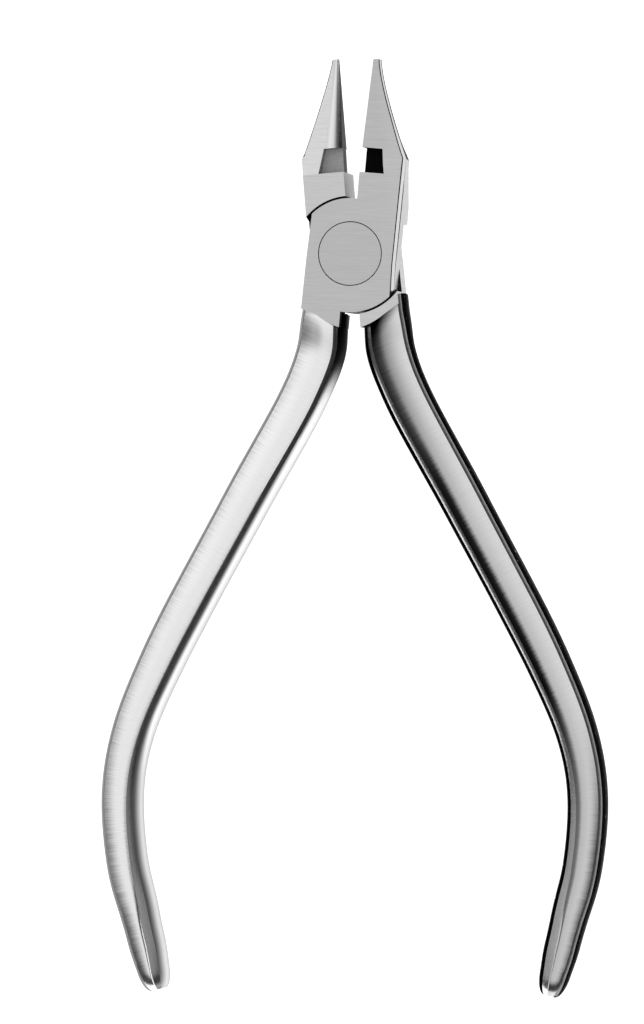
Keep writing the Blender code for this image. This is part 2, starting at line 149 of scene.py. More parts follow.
def arc(radius, start_deg, end_deg, steps, centre=(0.0, 0.0)):
    """Points on a circle, both ends included."""
    points = []
    for i in range(steps + 1):
        angle = math.radians(start_deg + (end_deg - start_deg) * i / steps)
        points.append((centre[0] + radius * math.cos(angle), centre[1] + radius * math.sin(angle)))
    return points


def loft(name, sections, paint, cap_slot=0):
    """A closed skin through rings of equal length; paint(i, j) gives the slot of the face after point i."""
    shape = bmesh.new()
    shape.loops.layers.uv.new("grain")
    rings = [[shape.verts.new(Vector(point) * MM) for point in section] for section in sections]
    count = len(rings[0])
    for j, (ring, following) in enumerate(zip(rings, rings[1:])):
        for i in range(count):
            k = (i + 1) % count
            face = shape.faces.new((ring[i], ring[k], following[k], following[i]))
            face.material_index = paint(i, j)
            face.smooth = True
    for ring in (list(reversed(rings[0])), rings[-1]):
        face = shape.faces.new(ring)
        face.material_index = cap_slot
    bmesh.ops.recalc_face_normals(shape, faces=shape.faces)
    mesh = bpy.data.meshes.new(name)
    shape.to_mesh(mesh)
    shape.free()
    item = bpy.data.objects.new(name, mesh)
    bpy.context.scene.collection.objects.link(item)
    return item


def slab(name, outline, low, high, wall_slot=FLANK, face_slot=JOINT):
    """A flat outline extruded from z = low to z = high."""
    sections = [[(x, y, z) for x, y in outline] for z in (low, high)]
    return loft(name, sections, lambda i, j: wall_slot, face_slot)


def side_prism(name, profile, slot):
    """A profile of (y, z) points extruded sideways right through a jaw."""
    sections = [[(x, y, z) for y, z in profile] for x in (-CLEAR_X, CLEAR_X)]
    return loft(name, sections, lambda i, j: slot)


def combine(item, tool, operation):
    """Apply a Boolean to an object and keep the result as its mesh."""
    modifier = item.modifiers.new(operation.lower(), "BOOLEAN")
    modifier.operation = operation
    modifier.solver = "EXACT"
    modifier.object = tool
    bpy.context.view_layer.update()
    graph = bpy.context.evaluated_depsgraph_get()
    mesh = bpy.data.meshes.new_from_object(item.evaluated_get(graph))
    item.modifiers.clear()
    item.data = mesh
    bpy.data.objects.remove(tool, do_unlink=True)


def smooth_step(share):
    """Ease from 0 to 1, held at both ends."""
    share = min(max(share, 0.0), 1.0)
    return share * share * (3 - 2 * share)


def between(table, share):
    """Read a smooth value from a table of (share, value) pairs."""
    for (low, first), (high, second) in zip(table, table[1:]):
        if share <= high:
            return first + (second - first) * smooth_step((share - low) / (high - low))
    return table[-1][1]


# ---- outlines ----

def flat_outer_x(y):
    """The flat beak's outer edge, hollowed a little between its corner and its tip."""
    share = (TIP_Y - min(y, TIP_Y)) / (TIP_Y - FLAT_CORNER_Y)
    return FLAT_TIP_X + FLAT_EDGE_WIDTH * share ** FLAT_EDGE_HOLLOW


def flat_outer_points(steps):
    """The plate's top corner, then the flat beak's outer edge up to the tip."""
    points = [PLATE_TOP]
    for i in range(steps + 1):
        y = FLAT_CORNER_Y + (TIP_Y - FLAT_CORNER_Y) * i / steps
        points.append((flat_outer_x(y), y))
    return points


def round_outer_x(y):
    """The round beak's outer edge."""
    share = (TIP_Y - y) / (TIP_Y - ROUND_EDGE_Y)
    return ROUND_TIP_X + ROUND_EDGE_WIDTH * share ** ROUND_EDGE_HOLLOW


def round_outer_points(steps):
    """The block's side, a rounded shoulder, and the beak's outer edge."""
    (ax, ay), (bx, by), (cx, cy) = ROUND_SHOULDER
    points = []
    for i in range(11):
        t = i / 10
        points.append((ax * (1 - t) ** 2 + 2 * bx * t * (1 - t) + cx * t ** 2,
                       ay * (1 - t) ** 2 + 2 * by * t * (1 - t) + cy * t ** 2))
    for i in range(1, steps + 1):
        y = cy + (TIP_Y - cy) * i / steps
        points.append((round_outer_x(y), y))
    return points


def lever_outline(closing_x, outer_points, hub_corner):
    """Round the joint and up the jaw, counter-clockwise from the tip's inner corner."""
    boss_start = math.degrees(math.acos(closing_x / BOSS_RADIUS_JAW))
    hub_end = 180 + math.degrees(math.acos((HUB_CENTRE[0] - NECK_INNER_X) / HUB_RADIUS))
    boss_low = 180 + math.degrees(math.acos(-NECK_INNER_X / BOSS_RADIUS_HANDLE))
    points = [(closing_x, TIP_Y)]
    points += arc(BOSS_RADIUS_JAW, boss_start, SHOULDER_DEG, 36)
    points += [PLATE_CORNER, hub_corner]
    points += arc(HUB_RADIUS, HUB_START_DEG, hub_end, 24, HUB_CENTRE)
    points += arc(BOSS_RADIUS_HANDLE, boss_low, BOSS_END_DEG, 36)
    return points + PLATE_SIDE + outer_points


def lap_outline():
    """What the other lever's plate sweeps: a smaller circle by the jaw, a larger by the handle."""
    jaw_side = arc(BOSS_RADIUS_JAW + SHOULDER_GAP, -33.0, SHOULDER_DEG, LAP_ARC_STEPS)
    handle_side = arc(BOSS_RADIUS_HANDLE + SHOULDER_GAP, SHOULDER_DEG, 327.0, LAP_ARC_STEPS)
    return jaw_side + handle_side


# ---- cuts ----

def cut_lap(lever, bore_radius):
    """Take away the rear half of the joint and bore the plate for the screw."""
    combine(lever, slab("lap_cutter", lap_outline(), -2 * HALF, LAP_GAP / 2, LAP, LAP), "DIFFERENCE")
    bore = slab("bore_cutter", arc(bore_radius, *CIRCLE), -2 * HALF, 2 * HALF, SIDE)
    combine(lever, bore, "DIFFERENCE")


def shave_faces(lever, heights, slot):
    """Cut the jaw's front and rear faces down to half-thicknesses given as (y, z) points."""
    beyond = TIP_Y + 3
    for side in (1, -1):
        profile = [(y, side * z) for y, z in heights]
        profile += [(beyond, side * heights[-1][1]), (beyond, side * 2 * HALF),
                    (heights[0][0], side * 2 * HALF)]
        combine(lever, side_prism("face_cutter", profile, slot), "DIFFERENCE")


def draft_side(lever, path, dark_from=None):
    """Lean an outer side inwards towards the other lever's half, along (x, y, z, angle) points.

    From the section numbered dark_from on, the new side takes the edge slot, whose near-black steel is a
    painted dark reflection.
    """
    if dark_from is None:
        dark_from = len(path)
    high = 1.5 * HALF
    sections = []
    for x, y, z, angle in path:
        lean = math.tan(angle)
        sections.append([(x + (high - z) * lean, y, high), (x - (high + z) * lean, y, -high),
                         (CLEAR_X, y, -high), (CLEAR_X, y, high)])
    cutter = loft("draft_cutter", sections, lambda i, j: OUTER_SIDE if j < dark_from else EDGE)
    combine(lever, cutter, "DIFFERENCE")


def chamfer_outer(lever, path):
    """Chamfer an outer edge of the plate's own face, with eased corners, along (x, y, z, scale) points."""
    spare = 0.5
    sections = []
    for x, y, z, scale in path:
        width, depth, ease = CHAMFER_WIDTH * scale, CHAMFER_DEPTH * scale, CHAMFER_EASE
        sections.append([(x - width - ease, y, z + spare), (x - width - ease, y, z),
                         (x - width, y, z - ease * 0.4), (x - ease * 0.4, y, z - depth),
                         (x + 0.02, y, z - depth - ease), (x + spare, y, z - depth - ease),
                         (x + spare, y, z + spare)])
    # The eased corners take the edge slot: painted dark reflections along the chamfer.
    edge_faces = (1, 3)
    combine(lever, loft("chamfer_cutter", sections, lambda i, j: EDGE if i in edge_faces else FLANK),
            "DIFFERENCE")


def mill_pockets(lever, outer_wall):
    """Mill a relief pocket from both faces; its outer wall slants, and its floor may rise outwards."""
    floor_start = 0.5
    for side in (1, -1):
        sections = []
        for y, (x, floor) in zip((POCKET_LOW_Y, POCKET_HIGH_Y), outer_wall):
            sections.append([(CUT_INNER_X, y, side * POCKET_FLOOR), (floor_start, y, side * POCKET_FLOOR),
                             (x, y, side * floor), (x, y, side * 2 * HALF),
                             (CUT_INNER_X, y, side * 2 * HALF)])
        cutter = loft("pocket_cutter", sections, lambda i, j: POCKET if i < 2 else FLANK, POCKET)
        combine(lever, cutter, "DIFFERENCE")


# ---- handle ----

def spline_point(a, b, c, d, t):
    """A centripetal Catmull-Rom curve between b and c."""
    times = [0.0]
    for first, second in ((a, b), (b, c), (c, d)):
        times.append(times[-1] + math.sqrt((second - first).length))
    now = times[1] + (times[2] - times[1]) * t

    def mix(p, q, start, end):
        """Blend two points by where now lies between start and end."""
        return p * ((end - now) / (end - start)) + q * ((now - start) / (end - start))

    ab = mix(a, b, times[0], times[1])
    bc = mix(b, c, times[1], times[2])
    cd = mix(c, d, times[2], times[3])
    return mix(mix(ab, bc, times[0], times[2]), mix(bc, cd, times[1], times[3]), times[1], times[2])


def handle_path(shift):
    """Points along the handle's smooth centreline, and the distance to each."""
    knots = [Vector((x + shift, y)) for x, y in HANDLE_LINE]
    ends = [knots[0] * 2 - knots[1]] + knots + [knots[-1] * 2 - knots[-2]]
    points = []
    for a, b, c, d in zip(ends, ends[1:], ends[2:], ends[3:]):
        for i in range(40):
            points.append(spline_point(a, b, c, d, i / 40))
    points.append(knots[-1])
    lengths = [0.0]
    for first, second in zip(points, points[1:]):
        lengths.append(lengths[-1] + (second - first).length)
    return points, lengths


def path_at(points, lengths, distance):
    """The point and heading at a distance along the centreline."""
    i = 0
    while i < len(points) - 2 and lengths[i + 1] < distance:
        i += 1
    heading = (points[i + 1] - points[i]).normalized()
    return points[i] + heading * (distance - lengths[i]), heading


def section_points(half_width, half_depth, outer_bevel, inner_bevel):
    """A handle section as (sideways, up, slot) points: crowned faces, eased bevels, bowed sides."""
    ring = []
    for side, bevel in ((1, inner_bevel), (-1, outer_bevel)):
        bevel_slot = INNER_BEVEL_SLOT if side > 0 else OUTER_BEVEL_SLOT
        crown = INNER_CROWN if side > 0 else OUTER_CROWN
        face_half = half_width - crown - bevel
        side_half = half_depth - FACE_CROWN - OUTER_BEVEL
        quarter = []
        for i in range(FACE_STEPS + 1):
            share = i / FACE_STEPS
            quarter.append((side * face_half * share, half_depth - FACE_CROWN * share * share, HANDLE))
        for i in range(1, CORNER_STEPS):
            share = i / CORNER_STEPS
            bulge = 0.03 * math.sin(math.pi * share)
            quarter.append((side * (face_half + bevel * share + bulge * 0.7),
                            half_depth - FACE_CROWN - OUTER_BEVEL * share + bulge * 0.7, bevel_slot))
        for i in range(SIDE_STEPS + 1):
            share = 1 - i / SIDE_STEPS
            quarter.append((side * (half_width - crown * share * share), side_half * share, SIDE))
        half = quarter + [(x, -z, slot) for x, z, slot in reversed(quarter[:-1])]
        ring += half if side > 0 else list(reversed(half[1:-1]))
    return ring


def hub_edge_y(x):
    """The height of the hub's lower edge: straight from its corner, then round."""
    start_x, start_y = arc(HUB_RADIUS, HUB_START_DEG, HUB_START_DEG, 1, HUB_CENTRE)[0]
    if x < start_x:
        return start_y + (x - start_x) * (FRONT_HUB_CORNER[1] - start_y) / (FRONT_HUB_CORNER[0] - start_x)
    return HUB_CENTRE[1] - math.sqrt(max(HUB_RADIUS ** 2 - (x - HUB_CENTRE[0]) ** 2, 0.0))


def hub_lag(place, distance):
    """How far a point near the joint moves so that the handle's first sections follow the hub's arc."""
    lag = hub_edge_y(place.x) - hub_edge_y(HANDLE_LINE[1][0])
    return lag * (1 - smooth_step(distance / HUB_REACH))


def handle_section(points, lengths, distance):
    """One ring of the handle: filleted to full depth at the hub, and pinched in at its end."""
    total = lengths[-1]
    point, heading = path_at(points, lengths, distance)
    share = distance / total
    half_depth = between(HALF_DEPTH, share)
    past_hub = (distance - HUB_EXIT) / FILLET_LENGTH
    if past_hub < 1:
        rise = 1 - smooth_step(past_hub)
        half_depth += (HALF - 0.02 - half_depth) * rise
    into_end = max(0.0, distance - (total - HANDLE_END_ROUND)) / HANDLE_END_ROUND
    pinch = math.sqrt(max(0.0, 1 - (into_end * 0.97) ** 2))
    across = Vector((-heading.y, heading.x))
    ring = []
    for sideways, up, slot in section_points(between(HALF_WIDTH, share), half_depth, OUTER_BEVEL,
                                             between(INNER_BEVEL, share)):
        place = point + across * sideways * (0.45 + 0.55 * pinch)
        ring.append((place.x, place.y + hub_lag(place, distance), up * (0.3 + 0.7 * pinch)))
    return ring


def handle(shift):
    """The handle's loft along its centreline, closed by a rounded end, with its grain coordinates."""
    points, lengths = handle_path(shift)
    total = lengths[-1]
    distances = [0.0, HUB_EXIT]
    distances += [HUB_EXIT + FILLET_LENGTH * (i / 10) ** 1.6 for i in range(1, 11)]
    start = distances[-1]
    for i in range(1, 181):
        distances.append(start + (total - start) * (1 - (1 - i / 180) ** 1.12))
    slots = [slot for _, _, slot in section_points(2.5, 3.5, OUTER_BEVEL, OUTER_BEVEL)]
    count = len(slots)

    def paint(i, j):
        """The slot of a face: a bevel's where it touches a bevel, or else that of its points."""
        both = {slots[i], slots[(i + 1) % count]}
        bevels = both & {INNER_BEVEL_SLOT, OUTER_BEVEL_SLOT}
        return bevels.pop() if bevels else both.pop()

    item = loft("handle", [handle_section(points, lengths, d) for d in distances], paint)
    write_grain(item, distances, count, points, lengths)
    return item


def write_grain(item, distances, count, points, lengths):
    """UV in centimetres: across the handle, and along it."""
    layer = item.data.uv_layers["grain"]
    middle = [path_at(points, lengths, d) for d in distances]
    for loop in item.data.loops:
        ring = loop.vertex_index // count
        point, heading = middle[ring]
        here = item.data.vertices[loop.vertex_index].co / MM
        across = (here.x - point.x) * -heading.y + (here.y - point.y) * heading.x
        layer.data[loop.index].uv = (across / 10, distances[ring] / 10)


# ---- jaws and levers ----

def cone_radius(y):
    """The rounded closing side's radius, growing from the tip."""
    return CONE_TIP_RADIUS + (TIP_Y - y) * CONE_TAPER


def round_face_height(y):
    """Half-thickness of the round beak, tapering straight from the block to the tip."""
    tip = CONE_TIP_RADIUS - CONE_CREST
    return tip + (HALF - tip) * (TIP_Y - y) / (TIP_Y - POCKET_LOW_Y)


def closing_lean(y):
    """How far the rounded closing side stands back, more towards the joint."""
    return ROUND_CLOSING_X + (TIP_Y - y) * CONE_LEAN


def crest_x(y):
    """Where the rounded closing side meets the beak's face."""
    return closing_lean(y) + cone_radius(y)


def cone():
    """The round beak's closing side: a cone at the tip that deepens into rounded edges and a flat flank."""
    sections = []
    segments = 96
    for y in (POCKET_LOW_Y - 1.0, POCKET_LOW_Y + 0.2, TIP_Y):
        radius = cone_radius(y)
        reach = min(round_face_height(y) + CONE_CREST, HALF - 0.02) - radius
        ring = []
        for i in range(segments):
            angle = 2 * math.pi * (i + 0.5) / segments
            across = closing_lean(y) + radius + radius * math.cos(angle)
            ring.append((across, y, radius * math.sin(angle) + math.copysign(reach, math.sin(angle))))
        sections.append(ring)
    item = loft("cone", sections, lambda i, j: CONE, CONE)
    layer = item.data.uv_layers["grain"]
    for loop in item.data.loops:
        turn = abs((loop.vertex_index % segments + 0.5) / segments - 0.5) * 2
        layer.data[loop.index].uv = (turn, sections[loop.vertex_index // segments][0][1] / 10)
    return item


def trim_round_edge(lever):
    """Ease the round beak's outer edges, front and rear."""
    width, depth = 0.13, 0.2
    for side in (1, -1):
        sections = []
        for i in range(BEAK_STEPS + 1):
            y = ROUND_SHOULDER[2][1] - 0.5 + (TIP_Y + 1.5 - ROUND_SHOULDER[2][1]) * i / BEAK_STEPS
            x, z = round_outer_x(min(y, TIP_Y)), round_face_height(y)
            sections.append([(x - width, y, side * (z + 0.02)), (x + 0.03, y, side * (z - depth)),
                             (x + 1.0, y, side * (z - depth)), (x + 1.0, y, side * (z + 1.0)),
                             (x - width, y, side * (z + 1.0))])
        # The eased faces take the edge slot: painted dark reflections along the edges.
        combine(lever, loft("edge_cutter", sections, lambda i, j: EDGE), "DIFFERENCE")


def flat_jaw_lever():
    """The front lever's solid: flat beak, plate, and handle."""
    outline = lever_outline(FLAT_CLOSING_X, flat_outer_points(BEAK_STEPS), FRONT_HUB_CORNER)
    lever = slab("flat_lever", outline, -HALF, HALF)
    taper = (HALF - FLAT_TIP_HALF_THICKNESS) / (TIP_Y - FACE_TAPER_Y)
    shave_faces(lever, [(FACE_TAPER_Y, HALF), (TIP_Y, FLAT_TIP_HALF_THICKNESS)], JOINT)
    path = [(x, y, HALF, 1.0) for x, y in CHAMFER_LINE]
    draft = [(OUTER_X, y, HALF, FLAT_JOINT_DRAFT) for y in (-6.5, PLATE_TOP[1])]
    joint_sections = len(draft)
    for i in range(BEAK_STEPS + 1):
        y = FLAT_CORNER_Y + (TIP_Y + 1.0 - FLAT_CORNER_Y) * i / BEAK_STEPS
        height = HALF - (y - FACE_TAPER_Y) * taper
        path.append((flat_outer_x(y), y, height, 1.0 - 0.42 * smooth_step(i / 10)))
        angle = FLAT_CORNER_DRAFT + (FLAT_BEAK_DRAFT - FLAT_CORNER_DRAFT) * smooth_step(i / 5)
        draft.append((flat_outer_x(y) + 0.02, y, height, angle))
    draft_side(lever, draft, joint_sections)
    chamfer_outer(lever, path)
    combine(lever, handle(FRONT_HANDLE_SHIFT), "UNION")
    notch_outline = [(CUT_INNER_X, POCKET_LOW_Y), (FLAT_NOTCH_X, POCKET_LOW_Y),
                     (FLAT_NOTCH_X, POCKET_HIGH_Y), (CUT_INNER_X, POCKET_HIGH_Y)]
    combine(lever, slab("notch_cutter", notch_outline, -2 * HALF, 2 * HALF), "DIFFERENCE")
    mill_pockets(lever, FLAT_POCKET)
    cut_lap(lever, JOURNAL_RADIUS + SEAM)
    return lever


def round_jaw_lever():
    """The rear lever's solid: round beak, plate, and handle."""
    outline = lever_outline(ROUND_CLOSING_X, round_outer_points(BEAK_STEPS), REAR_HUB_CORNER)
    lever = slab("round_lever", outline, -HALF, HALF)
    draft_side(lever, [(ROUND_OUTER_X, y, HALF, ROUND_SIDE_DRAFT) for y in (-6.5, 14.0)])
    shave_faces(lever, [(POCKET_LOW_Y, HALF), (TIP_Y, round_face_height(TIP_Y))], BEAK)
    chamfer_outer(lever, [(ROUND_OUTER_X, y, HALF, 1.0) for y in (-7.0, 10.4)])
    combine(lever, handle(REAR_HANDLE_SHIFT), "UNION")
    crest_side = [(CUT_INNER_X, POCKET_LOW_Y), (crest_x(POCKET_LOW_Y), POCKET_LOW_Y),
                  (crest_x(TIP_Y), TIP_Y + 1.0), (CUT_INNER_X, TIP_Y + 1.0)]
    combine(lever, slab("crest_cutter", crest_side, -2 * HALF, 2 * HALF), "DIFFERENCE")
    combine(lever, cone(), "UNION")
    trim_round_edge(lever)
    mill_pockets(lever, ROUND_POCKET)
    cut_lap(lever, SHANK_RADIUS + SEAM)
    return lever


def screw_piece():
    """The turned pivot screw, its ends flush with both faces."""
    lap = LAP_GAP / 2
    edge = 0.04
    profile = [(JOURNAL_RADIUS - edge, HALF), (JOURNAL_RADIUS, HALF - edge), (JOURNAL_RADIUS, lap),
               (SHANK_RADIUS, lap), (SHANK_RADIUS, -HALF + edge), (SHANK_RADIUS - edge, -HALF)]
    sections = []
    for radius, z in profile:
        sections.append([(x, y, z) for x, y in arc(radius, *CIRCLE)])
    return loft("pivot_screw_visual", sections, lambda i, j: 0)


# ---- materials ----

def node(tree, kind, settings=None, **inputs):
    """Add a node, set its properties, and set or link its inputs, by name or as i0, i1 by number."""
    made = tree.nodes.new(kind)
    for key, value in (settings or {}).items():
        setattr(made, key, value)
    for key, value in inputs.items():
        numbered = key[0] == "i" and key[1:].isdigit()
        socket = made.inputs[int(key[1:]) if numbered else key.replace("_", " ")]
        if isinstance(value, bpy.types.NodeSocket):
            tree.links.new(value, socket)
        else:
            socket.default_value = value
    return made


def math_node(tree, operation, first, second=0.0, third=0.0):
    """The result of one arithmetic step."""
    return node(tree, "ShaderNodeMath", {"operation": operation}, i0=first, i1=second, i2=third).outputs[0]


def ramp(tree, value, low, high, start=0.0, end=1.0):
    """A smooth step of a value from start at low to end at high."""
    return node(tree, "ShaderNodeMapRange", {"interpolation_type": "SMOOTHSTEP"}, Value=value, From_Min=low,
                From_Max=high, To_Min=start, To_Max=end).outputs[0]


def stretched_noise(tree, vector, scale, detail=3.0):
    """Noise from -0.5 to 0.5 with a different scale along each axis."""
    mapping = node(tree, "ShaderNodeMapping", None, Vector=vector, Scale=scale)
    noise = node(tree, "ShaderNodeTexNoise", None, Vector=mapping.outputs[0], Scale=1.0, Detail=detail,
                 Roughness=0.6)
    return math_node(tree, "SUBTRACT", noise.outputs["Fac"], 0.5)


def new_material(name):
    """A metallic material with only its shader and its output."""
    material = bpy.data.materials.new(name)
    material.use_nodes = True
    tree = material.node_tree
    tree.nodes.clear()
    output = tree.nodes.new("ShaderNodeOutputMaterial")
    shader = node(tree, "ShaderNodeBsdfPrincipled", None, Metallic=1.0)
    tree.links.new(shader.outputs[0], output.inputs["Surface"])
    return material, tree, shader


def grey(tree, level):
    """A neutral colour from a number."""
    return node(tree, "ShaderNodeCombineColor", None, i0=level, i1=level, i2=level).outputs[0]


def tint_grazing(shader, amount):
    """Set how bright a glancing reflection is, from 0 for dark to 1 for plain metal."""
    shader.inputs["Specular Tint"].default_value = (amount, amount, amount, 1.0)


def shade(tree, shader, base, contrast, noise, roughness, roughness_swing):
    """Set a steel's tone and roughness, both stirred by its grain."""
    level = math_node(tree, "MULTIPLY_ADD", noise, contrast * base, base)
    tree.links.new(grey(tree, level), shader.inputs["Base Color"])
    rough = math_node(tree, "MULTIPLY_ADD", noise, roughness_swing, roughness)
    tree.links.new(rough, shader.inputs["Roughness"])


def ground_steel(name, base, roughness):
    """Flat faces ground with fine lines across the tool."""
    material, tree, shader = new_material(name)
    place = node(tree, "ShaderNodeTexCoord").outputs["Object"]
    lines = stretched_noise(tree, place, (450.0, 9000.0, 450.0))
    streaks = stretched_noise(tree, place, (160.0, 2600.0, 160.0), 2.0)
    grain = math_node(tree, "MULTIPLY_ADD", streaks, 0.6, lines)
    shade(tree, shader, base, 0.34, grain, roughness, 0.12)
    bump = node(tree, "ShaderNodeBump", None, Height=grain, Strength=0.12, Distance=0.00004)
    tree.links.new(bump.outputs[0], shader.inputs["Normal"])
    return material


def handle_steel(name, base, roughness, swing, with_painted_dark=False):
    """Crowned faces brushed across the handle, whose lines break up the reflections' edges."""
    material, tree, shader = new_material(name)
    grain_map = node(tree, "ShaderNodeUVMap", {"uv_map": "grain"}).outputs[0]
    lines = stretched_noise(tree, grain_map, (2.2, 95.0, 1.0))
    streaks = stretched_noise(tree, grain_map, (0.7, 28.0, 1.0), 2.0)
    grain = math_node(tree, "MULTIPLY_ADD", streaks, 0.8, lines)
    level = math_node(tree, "MULTIPLY_ADD", lines, 0.3 * base, base)
    # Where asked, the tone takes painted dark reflections and painted shade.
    if with_painted_dark:
        level = math_node(tree, "MULTIPLY", level, painted_dark_level(tree, grain_map, grain))
    tree.links.new(grey(tree, level), shader.inputs["Base Color"])
    tree.links.new(math_node(tree, "MULTIPLY_ADD", lines, 0.1, roughness), shader.inputs["Roughness"])
    across = node(tree, "ShaderNodeTangent", {"direction_type": "UV_MAP", "uv_map": "grain"}).outputs[0]
    lean = math_node(tree, "MULTIPLY", grain, swing)
    tilt = node(tree, "ShaderNodeVectorMath", {"operation": "SCALE"}, i0=across, Scale=lean).outputs[0]
    normal = node(tree, "ShaderNodeNewGeometry").outputs["Normal"]
    tilted = node(tree, "ShaderNodeVectorMath", {"operation": "ADD"}, i0=normal, i1=tilt).outputs[0]
    final = node(tree, "ShaderNodeVectorMath", {"operation": "NORMALIZE"}, i0=tilted).outputs[0]
    tree.links.new(final, shader.inputs["Normal"])
    return material


def painted_dark_level(tree, grain_map, grain):
    """A factor of painted light: it paints dark reflections on the face's inner part and on its outer part
    near the end, and shade in the fillet at the hub.

    Across is in centimetres from the centreline, positive inwards; along is in centimetres from the hub.
    """
    parts = node(tree, "ShaderNodeSeparateXYZ", None, Vector=grain_map)
    along = parts.outputs[1]
    across = math_node(tree, "MULTIPLY_ADD", grain, 0.035, parts.outputs[0])
    broad = ramp(tree, across, -0.25, 0.14)
    broad = math_node(tree, "MULTIPLY", broad, ramp(tree, along, 0.6, 3.4, 0.8, 0.40))
    level = math_node(tree, "SUBTRACT", 1.0, broad)
    stripe = math_node(tree, "MULTIPLY", ramp(tree, across, 0.0, 0.09),
                       ramp(tree, across, 0.12, 0.20, 1.0, 0.75))
    faded = math_node(tree, "MULTIPLY", ramp(tree, along, 1.0, 2.6, 0.5, 0.94),
                      ramp(tree, along, 5.3, 6.6, 1.0, 0.0))
    kept = math_node(tree, "MULTIPLY_ADD", math_node(tree, "MULTIPLY", stripe, faded), -1.0, 1.0)
    level = math_node(tree, "MULTIPLY", level, kept)
    outer = math_node(tree, "MULTIPLY", ramp(tree, across, -0.06, -0.21), ramp(tree, along, 5.6, 7.6))
    level = math_node(tree, "MULTIPLY", level, math_node(tree, "MULTIPLY_ADD", outer, -0.9, 1.0))
    fillet = ramp(tree, math_node(tree, "MULTIPLY_ADD", across, -0.9, along), 0.16, 0.44)
    return math_node(tree, "MULTIPLY", level, fillet)


def side_steel(name):
    """The front handle's sides: painted dark reflections beside the bevels and painted shade at the neck,
    bright along the middle.
    """
    material, tree, shader = new_material(name)
    place = node(tree, "ShaderNodeSeparateXYZ", None,
                 Vector=node(tree, "ShaderNodeTexCoord").outputs["Object"])
    y, z = place.outputs[1], place.outputs[2]
    from_middle = math_node(tree, "ABSOLUTE", math_node(tree, "SUBTRACT", z, HALF * MM))
    bright_to = ramp(tree, y, -0.058, -0.07, 0.0020, 0.0003)
    fade = ramp(tree, from_middle, bright_to, 0.0031, 1.0, 0.0)
    neck = ramp(tree, y, -0.0135, -0.019)
    level = math_node(tree, "MULTIPLY_ADD", math_node(tree, "MULTIPLY", fade, neck), 0.88, 0.07)
    tree.links.new(grey(tree, level), shader.inputs["Base Color"])
    tint_grazing(shader, 0.3)
    shader.inputs["Roughness"].default_value = 0.35
    return material


def cone_steel(name, base, roughness):
    """The cone's polished flank, with painted dark reflection where it faces the other beak."""
    material, tree, shader = new_material(name)
    grain_map = node(tree, "ShaderNodeUVMap", {"uv_map": "grain"}).outputs[0]
    turn = node(tree, "ShaderNodeSeparateXYZ", None, Vector=grain_map).outputs[0]
    place = node(tree, "ShaderNodeTexCoord").outputs["Object"]
    lines = stretched_noise(tree, place, (900.0, 5000.0, 900.0))
    ragged = math_node(tree, "MULTIPLY_ADD", lines, 0.10, turn)
    level = ramp(tree, ragged, 0.06, 0.33, 0.01 * base, base)
    tree.links.new(grey(tree, level), shader.inputs["Base Color"])
    shader.inputs["Roughness"].default_value = roughness
    tint_grazing(shader, 0.5)
    return material


def plain_steel(name, base, roughness, contrast, scale, grazing=1.0):
    """Unground faces: milled floors, sides, bevels and eased edges."""
    material, tree, shader = new_material(name)
    tint_grazing(shader, grazing)
    place = node(tree, "ShaderNodeTexCoord").outputs["Object"]
    specks = stretched_noise(tree, place, (scale, scale, scale))
    shade(tree, shader, base, contrast, specks, roughness, 0.1)
    bump = node(tree, "ShaderNodeBump", None, Height=specks, Strength=0.25, Distance=0.00006)
    tree.links.new(bump.outputs[0], shader.inputs["Normal"])
    return material


# ---- assembly ----

def sort_sides(item):
    """The neck's inner sides match the handle's sides, and the closing faces have a slot of their own."""
    for face in item.data.polygons:
        if face.material_index != FLANK:
            continue
        x, y = face.center.x / MM, face.center.y / MM
        if y < -5 and x > -3:
            face.material_index = SIDE
        elif y > 6.9 and abs(x) < 1:
            face.material_index = CLOSING


def dress(item, name, materials, matrix, body, cad_node):
    """Name a finished mesh, place it, give it its materials, and let it stand for its CAD node."""
    item.name = name
    item.data.name = name
    for i, material in enumerate(materials):
        if i < len(item.data.materials):
            item.data.materials[i] = material
        else:
            item.data.materials.append(material)
    item.data.transform(matrix)
    item.data.shade_smooth()
    item.data.set_sharp_from_angle(angle=math.radians(14))
    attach(item, body)
    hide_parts(cad_node)


